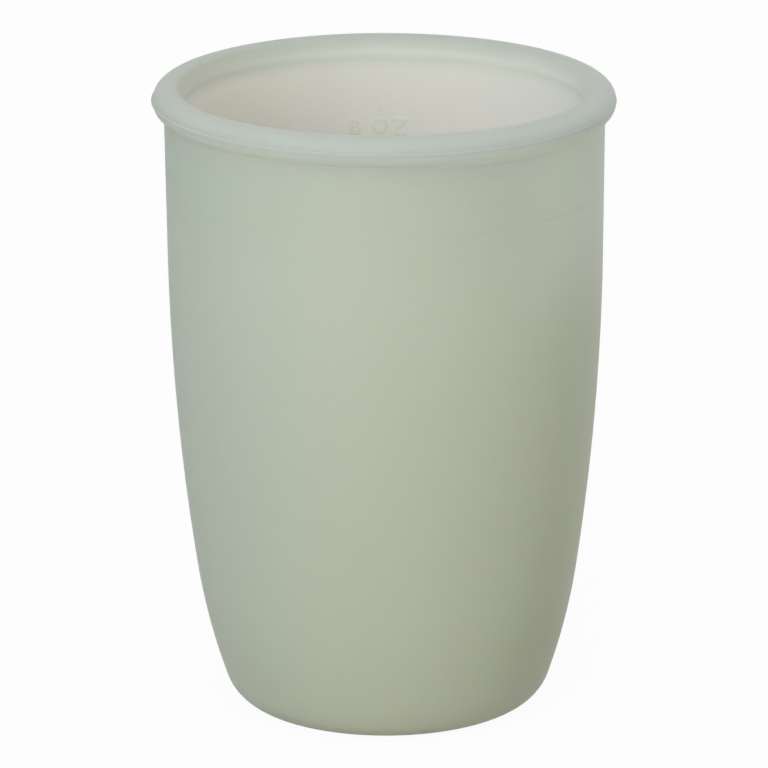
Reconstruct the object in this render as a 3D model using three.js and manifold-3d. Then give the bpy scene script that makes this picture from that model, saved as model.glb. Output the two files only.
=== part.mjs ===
// A soft silicone measuring cup that holds a little over 8 US fluid ounces, standing on its flat foot.
// The real cup is a single moulding. It is drawn as the features of that moulding, which meet
// face to face: floor, heel, three stretches of wall, rim bead, and the raised marks inside.
// Millimetres and degrees, +Z up. The origin is the middle of the foot, and the marks are on the
// +Y side, to be read from -Y.

import * as THREE from "three";
import { mergeVertices } from "three/addons/utils/BufferGeometryUtils.js";
import Module from "manifold-3d";

// Wall, outside sizes. A lean is the slope of the wall away from upright.
const BODY_DIAMETER = 69.34; // at the top of the curved wall, where the straight upper stretch begins
const UPPER_WALL_LEAN = 0.72; // the upper stretch is as high as the top mark and the freeboard need
const FREEBOARD = 12; // from the top mark's line up to the rim bead
const MIDDLE_WALL_HEIGHT = 51.7; // gently curved stretch
const MIDDLE_WALL_LEAN = 8.4; // reached at the bottom of the middle stretch
const LOWER_WALL_HEIGHT = 18.2; // more curved stretch
const LOWER_WALL_LEAN = 19.2; // reached at the bottom of the lower stretch, where the heel begins
const HEEL_RADIUS = 7; // outside, from the wall round to the foot
const INNER_HEEL_RADIUS = 6; // inside, from the wall round to the floor
const WALL_THICKNESS = 2;
const FLOOR_THICKNESS = 2.6;

// Rim bead, with the thin line that the mould leaves where its halves part
const BEAD_OVERHANG = 1.75; // from the outside of the wall out to the widest part of the bead
const BEAD_LIP = 1.25; // from the inside of the wall in to the narrowest part of the bead
const PARTING_LINE_HEIGHT = 0.15;
const PARTING_LINE_WIDTH = 0.4;

// Raised marks: a line at each volume, with its number and unit standing on it
const MILLILITRES_PER_OUNCE = 29.5735;
const VOLUME_MARKS = [
  { name: "mark_2oz", ounces: 2, letters: ["2", "O", "Z"] },
  { name: "mark_4oz", ounces: 4, letters: ["4", "O", "Z"] },
  { name: "mark_6oz", ounces: 6, letters: ["6", "O", "Z"] },
  { name: "mark_8oz", ounces: 8, letters: ["8", "O", "Z"], above: { name: "mark_1cup", letters: ["1"] } },
];
const MARK_HEIGHT = 0.35; // relief above the wall
const LETTER_HEIGHT = 2.9;
const CUP_NUMERAL_HEIGHT = 3.5; // the number of whole cups, above the ounces
const LETTER_STROKE = 0.65;
const LETTER_GAP = 0.6;
const WORD_GAP = 1.9; // between the number and its unit
const LINE_WIDTH = 0.5;
const LINE_TO_LETTER = 0.2;
const SHORT_LINE_LENGTH = 14;
const FILL_LINE_OPENING = 44; // the top line runs round the cup and is left open over this angle
const FILL_LINE_TURN = -8; // middle of that opening, from the front towards +X

// Facets
const TURN_SIDES = 64;
const HEEL_STEPS = 6;
const LOWER_WALL_STEPS = 4;
const MIDDLE_WALL_STEPS = 8;
const UPPER_WALL_STEPS = 2;
const BEAD_STEPS = 18;
const LINE_STEPS = 16;
const STROKE_END_STEPS = 2;
const LOOP_STEPS = 12;
const VOLUME_SLICE = 0.02; // height of the slices that the inside volume is added up from

const SILICONE_COLOUR = 0xb5baa8;
const SILICONE_ROUGHNESS = 0.5;

const CUBIC_MILLIMETRES_PER_MILLILITRE = 1000;
const FULL_TURN = 360;
const FRONT = -90; // angle of -Y, counted anticlockwise from +X
const BACK = 90; // angle of +Y, where the marks are

const radians = THREE.MathUtils.degToRad;
const degrees = THREE.MathUtils.radToDeg;

// Heights of the joins outside, from the foot up
const heelTop = HEEL_RADIUS * (1 - Math.sin(radians(LOWER_WALL_LEAN)));
const lowerTop = heelTop + LOWER_WALL_HEIGHT;
const middleTop = lowerTop + MIDDLE_WALL_HEIGHT;

// A stretch of wall that bends from one lean at its top to another at its bottom, as an arc
function bendingStretch(topRadius, topHeight, topLean, height, bottomLean) {
  const topSine = Math.sin(radians(topLean));
  const bottomSine = Math.sin(radians(bottomLean));
  const radius = height / (bottomSine - topSine);
  const centreRadius = topRadius - radius * Math.cos(radians(topLean));
  const centreHeight = topHeight + radius * topSine;
  const bottomRadius = centreRadius + radius * Math.cos(radians(bottomLean));
  return { radius, centreRadius, centreHeight, bottomRadius };
}

// The same arc, moved in from the outside of the wall to the inside
function insideOf(arc) {
  return { ...arc, radius: arc.radius - WALL_THICKNESS };
}

function radiusOnArc(arc, height) {
  const rise = height - arc.centreHeight;
  return arc.centreRadius + Math.sign(arc.radius) * Math.sqrt(arc.radius ** 2 - rise ** 2);
}

// Arcs of the outside, from the top down
const bodyRadius = BODY_DIAMETER / 2;
const upperSlope = Math.tan(radians(UPPER_WALL_LEAN));
const middleArc = bendingStretch(
  bodyRadius, middleTop, UPPER_WALL_LEAN, MIDDLE_WALL_HEIGHT, MIDDLE_WALL_LEAN);
const lowerArc = bendingStretch(
  middleArc.bottomRadius, lowerTop, MIDDLE_WALL_LEAN, LOWER_WALL_HEIGHT, LOWER_WALL_LEAN);
const heelArc = {
  radius: HEEL_RADIUS,
  centreRadius: lowerArc.bottomRadius - HEEL_RADIUS * Math.cos(radians(LOWER_WALL_LEAN)),
  centreHeight: HEEL_RADIUS,
};

// The inner heel touches the floor and the inside of the lower wall
function innerHeel() {
  const wallArc = insideOf(lowerArc);
  const reach = wallArc.radius - INNER_HEEL_RADIUS;
  const centreHeight = FLOOR_THICKNESS + INNER_HEEL_RADIUS;
  const drop = wallArc.centreHeight - centreHeight;
  const centreRadius = wallArc.centreRadius + Math.sqrt(reach ** 2 - drop ** 2);
  const topHeight = centreHeight - INNER_HEEL_RADIUS * drop / reach;
  return { radius: INNER_HEEL_RADIUS, centreRadius, centreHeight, topHeight };
}
const innerHeelArc = innerHeel();
const heelJoin = Math.max(heelTop, innerHeelArc.topHeight);

function outerRadius(height) {
  if (height >= middleTop) {
    return bodyRadius + (height - middleTop) * upperSlope;
  }
  if (height >= lowerTop) {
    return radiusOnArc(middleArc, height);
  }
  if (height >= heelTop) {
    return radiusOnArc(lowerArc, height);
  }
  return radiusOnArc(heelArc, height);
}

// A join on the inside lies higher than outside, because the wall's thickness is square to its slope
function insideJoin(outsideJoin, lean) {
  return outsideJoin + WALL_THICKNESS * Math.sin(radians(lean));
}

const wallAcross = WALL_THICKNESS / Math.cos(radians(UPPER_WALL_LEAN));

function innerRadius(height) {
  if (height >= insideJoin(middleTop, UPPER_WALL_LEAN)) {
    return outerRadius(height) - wallAcross;
  }
  if (height >= insideJoin(lowerTop, MIDDLE_WALL_LEAN)) {
    return radiusOnArc(insideOf(middleArc), height);
  }
  if (height >= innerHeelArc.topHeight) {
    return radiusOnArc(insideOf(lowerArc), height);
  }
  return radiusOnArc(innerHeelArc, height);
}

// Height of the liquid when the cup holds a volume, added up in thin slices from the floor
function fillHeight(millilitres) {
  let height = FLOOR_THICKNESS;
  let room = millilitres * CUBIC_MILLIMETRES_PER_MILLILITRE;
  while (room > 0) {
    room -= Math.PI * innerRadius(height + VOLUME_SLICE / 2) ** 2 * VOLUME_SLICE;
    height += VOLUME_SLICE;
  }
  return height;
}

// The rim bead stands on the upper stretch, over the whole thickness of the wall
const topMark = VOLUME_MARKS[VOLUME_MARKS.length - 1];
const upperTop = fillHeight(topMark.ounces * MILLILITRES_PER_OUNCE) + FREEBOARD;
const beadRadius = (BEAD_OVERHANG + wallAcross + BEAD_LIP) / 2;
const beadCentreRadius = outerRadius(upperTop) + BEAD_OVERHANG - beadRadius;
const beadCentreHeight = upperTop + beadRadius;

function heightsBetween(bottom, top, steps) {
  return Array.from({ length: steps + 1 }, (_, i) => THREE.MathUtils.lerp(bottom, top, i / steps));
}

// Points of an arc in a plane, from one angle to another
function arcPoints(x, y, radiusX, radiusY, startAngle, endAngle, steps) {
  return Array.from({ length: steps + 1 }, (_, i) => {
    const angle = radians(startAngle + (endAngle - startAngle) * i / steps);
    return new THREE.Vector2(x + radiusX * Math.cos(angle), y + radiusY * Math.sin(angle));
  });
}

// A round solid from its half section: radius in x, height in y, anticlockwise
function turned(section) {
  const geometry = new THREE.LatheGeometry(section, TURN_SIDES);
  geometry.rotateX(Math.PI / 2);
  return geometry;
}

// A ring's section comes back to its first point
function turnedRing(section) {
  return turned([...section, section[0]]);
}

function outerPoints(heights) {
  return heights.map((height) => new THREE.Vector2(outerRadius(height), height));
}

function innerPoints(heights) {
  return heights.map((height) => new THREE.Vector2(innerRadius(height), height));
}

const cup = new THREE.Group();
cup.name = "silicone_cup";

function addPiece(name, geometry) {
  const material = new THREE.MeshStandardMaterial({
    color: SILICONE_COLOUR,
    roughness: SILICONE_ROUGHNESS,
    metalness: 0,
  });
  const piece = new THREE.Mesh(geometry, material);
  piece.name = name;
  cup.add(piece);
}

// Floor: the flat disc inside the heel
const floorRadius = Math.min(heelArc.centreRadius, innerHeelArc.centreRadius);
addPiece("floor", turned([
  new THREE.Vector2(0, 0),
  new THREE.Vector2(floorRadius, 0),
  new THREE.Vector2(floorRadius, FLOOR_THICKNESS),
  new THREE.Vector2(0, FLOOR_THICKNESS),
]));

// Heel: the rounded ring between floor and wall
function heelSection() {
  const footEdge = new THREE.Vector2(floorRadius, 0);
  const floorEdge = new THREE.Vector2(floorRadius, FLOOR_THICKNESS);
  const outside = arcPoints(
    heelArc.centreRadius, heelArc.centreHeight, HEEL_RADIUS, HEEL_RADIUS,
    -90, -LOWER_WALL_LEAN, HEEL_STEPS);
  const innerLean = Math.asin((innerHeelArc.centreHeight - innerHeelArc.topHeight) / INNER_HEEL_RADIUS);
  const inside = arcPoints(
    innerHeelArc.centreRadius, innerHeelArc.centreHeight, INNER_HEEL_RADIUS, INNER_HEEL_RADIUS,
    -degrees(innerLean), -90, HEEL_STEPS);
  const joinOutside = new THREE.Vector2(outerRadius(heelJoin), heelJoin);
  const joinInside = new THREE.Vector2(innerRadius(heelJoin), heelJoin);
  const section = [footEdge, ...outside, joinOutside, joinInside, ...inside, floorEdge];
  const samePlace = 1e-6;
  return section.filter((point, i) => i === 0 || point.distanceTo(section[i - 1]) > samePlace);
}
addPiece("heel", turnedRing(heelSection()));

// Wall: three stretches that share the heights of their facets with the marks
const wallStretches = [
  { name: "lower_wall", heights: heightsBetween(heelJoin, lowerTop, LOWER_WALL_STEPS) },
  { name: "middle_wall", heights: heightsBetween(lowerTop, middleTop, MIDDLE_WALL_STEPS) },
  { name: "upper_wall", heights: heightsBetween(middleTop, upperTop, UPPER_WALL_STEPS) },
];
for (const stretch of wallStretches) {
  addPiece(stretch.name, turnedRing([
    ...outerPoints(stretch.heights),
    ...innerPoints(stretch.heights).reverse(),
  ]));
}

// Rim bead: a round bead over the top of the wall, with the mould's parting line at its widest
function beadSection() {
  const outsideAngle = degrees(Math.acos(1 - BEAD_OVERHANG / beadRadius));
  const insideAngle = degrees(Math.acos(1 - BEAD_LIP / beadRadius));
  const lineAngle = degrees(PARTING_LINE_WIDTH / 2 / beadRadius);
  const arc = (startAngle, endAngle, steps) => arcPoints(
    beadCentreRadius, beadCentreHeight, beadRadius, beadRadius, startAngle, endAngle, steps);
  const stepsBelow = Math.round(BEAD_STEPS * outsideAngle / (180 + outsideAngle + insideAngle));
  const linePeak = new THREE.Vector2(
    beadCentreRadius + beadRadius + PARTING_LINE_HEIGHT, beadCentreHeight);
  return [
    new THREE.Vector2(outerRadius(upperTop), upperTop),
    ...arc(-outsideAngle, -lineAngle, stepsBelow),
    linePeak,
    ...arc(lineAngle, 180 + insideAngle, BEAD_STEPS - stepsBelow),
    new THREE.Vector2(innerRadius(upperTop), upperTop),
  ];
}
addPiece("rim_bead", turnedRing(beadSection()));

// Raised marks, cut out of a thin layer that lies on the inside of the wall
const wasm = await Module();
wasm.setup();

function solidFrom(geometry) {
  geometry.deleteAttribute("normal");
  geometry.deleteAttribute("uv");
  const merged = mergeVertices(geometry);
  return new wasm.Manifold(new wasm.Mesh({
    numProp: 3,
    vertProperties: new Float32Array(merged.attributes.position.array),
    triVerts: new Uint32Array(merged.index.array),
  }));
}

function geometryFrom(solid) {
  const mesh = solid.getMesh();
  const geometry = new THREE.BufferGeometry();
  geometry.setAttribute("position", new THREE.BufferAttribute(mesh.vertProperties, 3));
  geometry.setIndex(new THREE.BufferAttribute(mesh.triVerts, 1));
  geometry.computeVertexNormals();
  return geometry;
}

function reliefLayer() {
  const heights = [...new Set(wallStretches.flatMap((stretch) => stretch.heights))];
  const onWall = innerPoints(heights);
  const raised = onWall.map((point) => new THREE.Vector2(point.x - MARK_HEIGHT, point.y));
  return solidFrom(turnedRing([...onWall, ...raised.reverse()]));
}
const relief = reliefLayer();

// A letter's strokes, in a box that is 1 wide and 1 high, as lists of points
function linePoints(...places) {
  return places.map(([x, y]) => new THREE.Vector2(x, y));
}

function loopPoints(x, y, radiusX, radiusY) {
  return arcPoints(x, y, radiusX, radiusY, 0, FULL_TURN, LOOP_STEPS);
}

const LETTERS = {
  O: { width: 0.95, strokes: [loopPoints(0.5, 0.5, 0.5, 0.5)] },
  Z: { width: 0.86, strokes: [linePoints([0, 1], [1, 1], [0, 0], [1, 0])] },
  1: { width: 0.45, strokes: [linePoints([0, 0.8], [0.8, 1], [0.8, 0])] },
  2: {
    width: 0.64,
    strokes: [[...arcPoints(0.5, 0.7, 0.5, 0.3, 170, -40, 7), ...linePoints([0, 0], [1, 0])]],
  },
  4: {
    width: 0.7,
    strokes: [linePoints([0.75, 1], [0, 0.3], [1, 0.3]), linePoints([0.75, 1], [0.75, 0])],
  },
  6: {
    width: 0.64,
    strokes: [loopPoints(0.5, 0.3, 0.5, 0.3), arcPoints(1, 0.3, 1, 0.7, 180, 100, 4)],
  },
  8: {
    width: 0.64,
    strokes: [loopPoints(0.5, 0.27, 0.5, 0.27), loopPoints(0.5, 0.77, 0.44, 0.23)],
  },
};

// A straight stroke with round ends, from the cup's axis out through the +Y side of the wall
function strokeBar(from, to) {
  const half = LETTER_STROKE / 2;
  const heading = Math.atan2(to.y - from.y, to.x - from.x);
  const shape = new THREE.Shape();
  shape.absarc(to.x, to.y, half, heading - Math.PI / 2, heading + Math.PI / 2);
  shape.absarc(from.x, from.y, half, heading + Math.PI / 2, heading + Math.PI * 3 / 2);
  const geometry = new THREE.ExtrudeGeometry(shape, {
    depth: bodyRadius,
    bevelEnabled: false,
    curveSegments: STROKE_END_STEPS,
  });
  geometry.rotateX(Math.PI / 2);
  geometry.translate(0, bodyRadius, 0);
  return solidFrom(geometry);
}

// One raised letter, with its left edge and its foot at the given place
function letterSolid(letter, size, left, bottom) {
  const half = LETTER_STROKE / 2;
  const wide = LETTERS[letter].width * size - LETTER_STROKE;
  const high = size - LETTER_STROKE;
  const placed = (point) => new THREE.Vector2(
    left + half + point.x * wide, bottom + half + point.y * high);
  let bars = null;
  for (const stroke of LETTERS[letter].strokes) {
    for (let i = 1; i < stroke.length; i += 1) {
      const bar = strokeBar(placed(stroke[i - 1]), placed(stroke[i]));
      bars = bars === null ? bar : bars.add(bar);
    }
  }
  return bars.intersect(relief);
}

// A number and its unit in a row, centred on the middle of the +Y side
function addLetters(markName, letters, size, bottom) {
  const lefts = [];
  let reach = 0;
  letters.forEach((letter, i) => {
    if (i > 0) {
      reach += i === 1 ? WORD_GAP : LETTER_GAP;
    }
    lefts.push(reach);
    reach += LETTERS[letter].width * size;
  });
  letters.forEach((letter, i) => {
    const solid = letterSolid(letter, size, lefts[i] - reach / 2, bottom);
    const kind = i === 0 ? "numeral" : "letter";
    addPiece(`${markName}_${kind}_${letter}`, geometryFrom(solid));
  });
}

// A raised line at one height, over an angle of the wall counted anticlockwise from +X
function addLine(name, height, startAngle, endAngle) {
  const shape = new THREE.Shape([
    new THREE.Vector2(0, 0),
    ...arcPoints(0, 0, BODY_DIAMETER, BODY_DIAMETER, startAngle, endAngle, LINE_STEPS),
  ]);
  const wedge = new THREE.ExtrudeGeometry(shape, { depth: LINE_WIDTH, bevelEnabled: false });
  wedge.translate(0, 0, height - LINE_WIDTH / 2);
  addPiece(name, geometryFrom(solidFrom(wedge).intersect(relief)));
}

for (const mark of VOLUME_MARKS) {
  const height = fillHeight(mark.ounces * MILLILITRES_PER_OUNCE);
  const lettersBottom = height + LINE_WIDTH / 2 + LINE_TO_LETTER;
  addLetters(mark.name, mark.letters, LETTER_HEIGHT, lettersBottom);
  if (mark.above !== undefined) {
    const aboveBottom = lettersBottom + LETTER_HEIGHT + LETTER_GAP;
    addLetters(mark.above.name, mark.above.letters, CUP_NUMERAL_HEIGHT, aboveBottom);
  }
  const lineName = `${mark.name}_line`;
  if (mark === topMark) {
    const lineStart = FRONT + FILL_LINE_TURN + FILL_LINE_OPENING / 2;
    addLine(lineName, height, lineStart, lineStart + FULL_TURN - FILL_LINE_OPENING);
  } else {
    const halfAngle = degrees(SHORT_LINE_LENGTH / 2 / innerRadius(height));
    addLine(lineName, height, BACK - halfAngle, BACK + halfAngle);
  }
}

export default cup;
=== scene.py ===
"""Looks of a soft silicone measuring cup, laid out as an add-on and run as a script.

The cup is one moulding, so it is one closed skin: foot, heel, wall, rim bead, inside and floor, with the
volume marks raised out of the inside of the wall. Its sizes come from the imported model. Metres and radians.
"""

import math
from dataclasses import dataclass

import bpy
import numpy as np
from bpy.props import FloatProperty, FloatVectorProperty, PointerProperty
from bpy.types import Operator, Panel, PropertyGroup
from mathutils import Matrix, Vector


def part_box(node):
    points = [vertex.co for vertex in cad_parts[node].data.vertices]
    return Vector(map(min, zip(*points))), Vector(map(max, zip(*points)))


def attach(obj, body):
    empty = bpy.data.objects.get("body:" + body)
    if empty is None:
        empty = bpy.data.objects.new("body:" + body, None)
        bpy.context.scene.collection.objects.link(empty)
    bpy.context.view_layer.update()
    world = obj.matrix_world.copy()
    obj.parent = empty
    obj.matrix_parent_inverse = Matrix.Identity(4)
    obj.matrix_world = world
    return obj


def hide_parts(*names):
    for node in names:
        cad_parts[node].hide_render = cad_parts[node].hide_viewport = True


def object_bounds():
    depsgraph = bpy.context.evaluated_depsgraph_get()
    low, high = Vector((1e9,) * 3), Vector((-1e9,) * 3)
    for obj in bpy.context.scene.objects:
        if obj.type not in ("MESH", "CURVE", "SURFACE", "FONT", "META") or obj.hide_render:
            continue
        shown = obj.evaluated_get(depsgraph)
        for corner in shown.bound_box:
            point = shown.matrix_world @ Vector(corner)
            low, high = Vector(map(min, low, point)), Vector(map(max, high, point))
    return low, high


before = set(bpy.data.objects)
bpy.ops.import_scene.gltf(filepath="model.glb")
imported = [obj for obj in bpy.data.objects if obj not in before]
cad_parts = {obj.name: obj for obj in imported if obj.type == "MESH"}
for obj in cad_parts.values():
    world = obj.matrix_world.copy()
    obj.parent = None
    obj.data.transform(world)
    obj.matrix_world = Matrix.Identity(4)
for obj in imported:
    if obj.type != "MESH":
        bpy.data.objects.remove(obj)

bl_info = {
    "name": "Silicone cup",
    "version": (1, 0, 0),
    "blender": (4, 5, 0),
    "location": "3D View > Sidebar > Cup",
    "description": "A soft silicone measuring cup as one skin with raised volume marks, on a pale stage",
    "category": "Add Mesh",
}

CAD_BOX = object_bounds()
SKIN_NAME = "cup_skin"

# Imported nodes
MOULDING_NODES = ("floor", "heel", "lower_wall", "middle_wall", "upper_wall", "rim_bead")
SHORT_LINE_NODES = ("mark_2oz_line", "mark_4oz_line", "mark_6oz_line")
FILL_LINE_NODE = "mark_8oz_line"
LINE_NODES = (*SHORT_LINE_NODES, FILL_LINE_NODE)
LETTER_NODES = sorted(
    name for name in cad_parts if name.startswith("mark_") and name not in LINE_NODES
)
FAINT_NODE = "mark_1cup_numeral_1"

# Attributes of the skin for the painted shade of the raised marks and of the fill line that shows through the
# wall
MARK = "mark"
GHOST = "ghost"

# Steps of the skin's mesh
ROW_STEP = 0.0016
MARK_STEP = 0.00015
MARK_MARGIN = 0.0004
DISC_STEP = 0.003
COLUMN_STEP = math.radians(2.6)
BEAD_STEP = math.radians(5)
HEEL_STEPS = 14
PARTING_STEPS = 12
LIP_STEPS = 12
CORNER_STEPS = 5
LINE_END_STEPS = 4
LETTER_ARC_STEPS = 24

# How fast the rim's lean fades down the wall
TILT_POWER = 3

# How far each painted light and shade on the silicone reaches, and its share there
SOLE_HEIGHT = 0.0045
COOL_LOSS = 0.6
OLIVE_FADE = 0.013
RIM_FADE = 0.003
LIT_START = 0.062
LIT_FADE = 0.026
UNDERSIDE_SHARE = 0.6
UNDERSIDE_START = math.radians(15)
UNDERSIDE_END = math.radians(-60)
CREASE_SHARE = 0.52
CREASE_FADE = 0.0008
WALL_TOP_SHARE = 0.2
WALL_TOP_FADE = 0.0022
LIP_SHARE = 0.72
LIP_FADE = 0.0018
INSIDE_FADE = 0.012
DIM_SHARE = 0.32
DIM_START = 0.0008
DIM_FADE = 0.006
DEEP_START = 0.078
EDGE_START = 0.45
EDGE_FADE = 0.4
# Lift of the fill line's painted shade on the outside, as the line is seen from above through the wall
GHOST_LIFT = 0.00085

# Surface of the silicone: scales per metre, specks as shares of the space between them
SILICONE_IOR = 1.41
SILICONE_SPECULAR = 0.3
CLOUD_NOISE = {"Scale": 45.0, "Detail": 4.0, "Roughness": 0.55}
SPECK_SCALE = 75.0
SPECK_CORE = 0.015
SPECK_EDGE = 0.035
SPECK_STRENGTH = 0.2
RUBBED_CHANGE = 0.06
GRAIN_NOISE = {"Scale": 2600.0, "Detail": 3.0, "Roughness": 0.6}
GRAIN_STRENGTH = 0.25
GRAIN_DEPTH = 0.00003

# Sockets of the colours in Blender's Mix node
MIX_FIRST = 6
MIX_SECOND = 7
MIX_RESULT = 2

# Stage: each lamp's turn from the front to +X and its elevation in degrees, the sensor in millimetres
KEY_LAMP = (-18, 15)
BACK_LAMP = (110, 22)
WHITE = (1, 1, 1)
FLOOR_ROUGHNESS = 0.9
FLOOR_WHITE_SHARE = 0.94
FLOOR_DROP = 0.00002
SENSOR_WIDTH = 36
CLIP_START = 0.05


class CupSizes(PropertyGroup):
    """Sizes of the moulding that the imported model's boxes don't give."""

    wall: FloatProperty(
        name="Wall", description="Thickness of the wall",
        default=0.002, min=0.0005, unit="LENGTH", precision=5)
    heel_radius: FloatProperty(
        name="Heel", description="Outer radius from the wall round to the foot",
        default=0.007, unit="LENGTH", precision=5)
    inner_heel_radius: FloatProperty(
        name="Inner heel", description="Radius from the inside of the wall round to the floor",
        default=0.006, unit="LENGTH", precision=5)
    crease: FloatProperty(
        name="Crease", description="Length of the soft corner where the bead meets the outside of the wall",
        default=0.0003, unit="LENGTH", precision=5)
    lip: FloatProperty(
        name="Lip", description="How far the bead stands in from the inside of the wall",
        default=0.00035, unit="LENGTH", precision=5)
    lip_blend: FloatProperty(
        name="Lip blend", description="Height over which that lip flows into the wall",
        default=0.0018, min=0.0005, unit="LENGTH", precision=5)
    thickening: FloatProperty(
        name="Thickening", description="Height over which the wall thickens towards the lip",
        default=0.025, min=0.005, unit="LENGTH", precision=4)
    parting_height: FloatProperty(
        name="Parting line", description="Mean height of the ridge that the mould leaves round the bead",
        default=0.00015, unit="LENGTH", precision=5)
    parting_width: FloatProperty(
        name="Parting line width", description="Width of that ridge",
        default=0.0006, unit="LENGTH", precision=5)
    parting_change: FloatProperty(
        name="Parting line change", description="Share by which the ridge is higher at -X and lower at +X",
        default=0.65, min=0, max=1, subtype="FACTOR")
    rim_tilt: FloatProperty(
        name="Rim tilt", description="Lean of the soft rim towards +X, which fades out down the wall",
        default=math.radians(0.37), subtype="ANGLE")


class MarkSizes(PropertyGroup):
    """Sizes of the raised volume marks."""

    relief: FloatProperty(
        name="Relief", description="Height of the marks above the wall",
        default=0.0002, unit="LENGTH", precision=5)
    faint: FloatProperty(
        name="Faint mark", description="Share of the relief that the mark for one cup has",
        default=0.3, min=0, max=1, subtype="FACTOR")
    stroke: FloatProperty(
        name="Stroke", description="Width of a letter's stroke",
        default=0.00056, unit="LENGTH", precision=5)
    edge: FloatProperty(
        name="Soft edge", description="Width of the rounded edge of a mark",
        default=0.0003, unit="LENGTH", precision=5)
    # Strength of the painted shade where the fill line shows through the wall
    ghost: FloatProperty(
        name="Ghost", description="How strongly the fill line shows through the wall",
        default=0.12, min=0, max=1, subtype="FACTOR")
    opening: FloatProperty(
        name="Opening", description="Angle over which the fill line is left open in front",
        default=math.radians(44), subtype="ANGLE")
    opening_turn: FloatProperty(
        name="Opening turn", description="Middle of that opening, from the front towards +X",
        default=math.radians(-8), subtype="ANGLE")


class SiliconeFinish(PropertyGroup):
    """Colours and surface of the silicone, and the colours that paint light and shade on it."""

    colour: FloatVectorProperty(
        name="Silicone", description="Pale sage colour of the silicone",
        default=(0.505, 0.549, 0.476), min=0, max=1, subtype="COLOR")
    cloud_colour: FloatVectorProperty(
        name="Clouding", description="Colour of the faint clouds in the silicone",
        default=(0.515, 0.559, 0.486), min=0, max=1, subtype="COLOR")
    # Painted shade: the wall is painted more olive towards the foot, where less light comes through.
    foot_colour: FloatVectorProperty(
        name="Foot", description="Colour near the foot, where less light comes through the silicone",
        default=(0.511, 0.545, 0.426), min=0, max=1, subtype="COLOR")
    # Painted light: the heel is painted paler where it turns under, for the light from the floor.
    sole_colour: FloatVectorProperty(
        name="Sole", description="Colour of the heel where it turns under, which the floor's light reaches",
        default=(0.70, 0.75, 0.54), min=0, max=1, subtype="COLOR")
    # Painted light: the wall is painted cooler at -X, for the cooler light on that side.
    cool_colour: FloatVectorProperty(
        name="Cool wall", description="Colour of the wall at -X",
        default=(0.458, 0.546, 0.478), min=0, max=1, subtype="COLOR")
    # Painted shade: the wall is painted darker and more olive at +X near the foot, where that side lies in
    # shade.
    olive_colour: FloatVectorProperty(
        name="Olive wall", description="Colour of the wall at +X near the foot",
        default=(0.43, 0.473, 0.332), min=0, max=1, subtype="COLOR")
    # Painted shade: the thick bead is painted darker and cooler than the wall, as less light comes through
    # it.
    rim_colour: FloatVectorProperty(
        name="Rim", description="Colour of the thick rim bead, which scatters more light and looks cooler",
        default=(0.461, 0.515, 0.474), min=0, max=1, subtype="COLOR")
    # Painted light: the wall at +X under the rim is painted paler, for light that comes through it.
    lit_colour: FloatVectorProperty(
        name="Lit wall", description="Colour of the wall at +X under the rim, where light comes through it",
        default=(0.575, 0.645, 0.55), min=0, max=1, subtype="COLOR")
    # Painted light: the bead's underside and the crease under it are painted paler, filling their shade.
    underside_colour: FloatVectorProperty(
        name="Underside", description="Colour of the bead's underside, paler by light through the wall",
        default=(0.738, 0.796, 0.692), min=0, max=1, subtype="COLOR")
    # Painted light: the inside is painted paler and warmer than the outside, for the light through the wall.
    inside_colour: FloatVectorProperty(
        name="Inside", description="Colour of the inside, paler and warmer by light through the wall",
        default=(0.855, 0.862, 0.825), min=0, max=1, subtype="COLOR")
    # Painted light: the inside at -X is painted warmer, for light that comes through the wall there.
    warm_colour: FloatVectorProperty(
        name="Warm inside", description="Colour of the inside at -X, which light reaches through the wall",
        default=(0.87, 0.81, 0.71), min=0, max=1, subtype="COLOR")
    # Painted light: the inside near +X is painted cooler, where light falls on it directly.
    cold_colour: FloatVectorProperty(
        name="Cold inside", description="Colour of the inside at +X",
        default=(0.752, 0.836, 0.825), min=0, max=1, subtype="COLOR")
    # Painted shade: the bend of the low lip is painted as a soft greener line.
    lip_colour: FloatVectorProperty(
        name="Lip", description="Colour of the low lip between the rim bead and the inside",
        default=(0.695, 0.745, 0.70), min=0, max=1, subtype="COLOR")
    dim_colour: FloatVectorProperty(
        name="Dim rim", description="Colour that shades the inner slope of the rim bead at -X",
        default=(0.28, 0.29, 0.19), min=0, max=1, subtype="COLOR")
    # Painted light and shade: deep in the cup the inside stays paler than the silicone, but greener and a
    # little darker.
    deep_colour: FloatVectorProperty(
        name="Deep inside", description="Colour of the inside near the floor",
        default=(0.82, 0.87, 0.77), min=0, max=1, subtype="COLOR")
    # Painted shade: the marks are painted darker and greener, as less light comes through the thicker
    # silicone.
    mark_colour: FloatVectorProperty(
        name="Marks", description="Colour of the marks, where the silicone is thicker",
        default=(0.75, 0.775, 0.68), min=0, max=1, subtype="COLOR")
    # Painted shade: the outside is painted darker where the fill line inside shows through the wall.
    ghost_colour: FloatVectorProperty(
        name="Ghost", description="Colour of the outside where the fill line shows through the wall",
        default=(0.40, 0.44, 0.37), min=0, max=1, subtype="COLOR")
    speck_colour: FloatVectorProperty(
        name="Specks", description="Colour of the few specks in the silicone",
        default=(0.44, 0.47, 0.38), min=0, max=1, subtype="COLOR")
    scatter_depth: FloatProperty(
        name="Scatter depth", description="How far light travels in the silicone",
        default=0.008, unit="LENGTH", precision=5)
    scatter_share: FloatVectorProperty(
        name="Scatter share", description="Share of that depth for red, green and blue",
        default=(1.0, 0.85, 0.7), min=0, max=1)
    roughness: FloatProperty(
        name="Roughness", description="Roughness of the satin surface",
        default=0.5, min=0, max=1, subtype="FACTOR")


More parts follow.
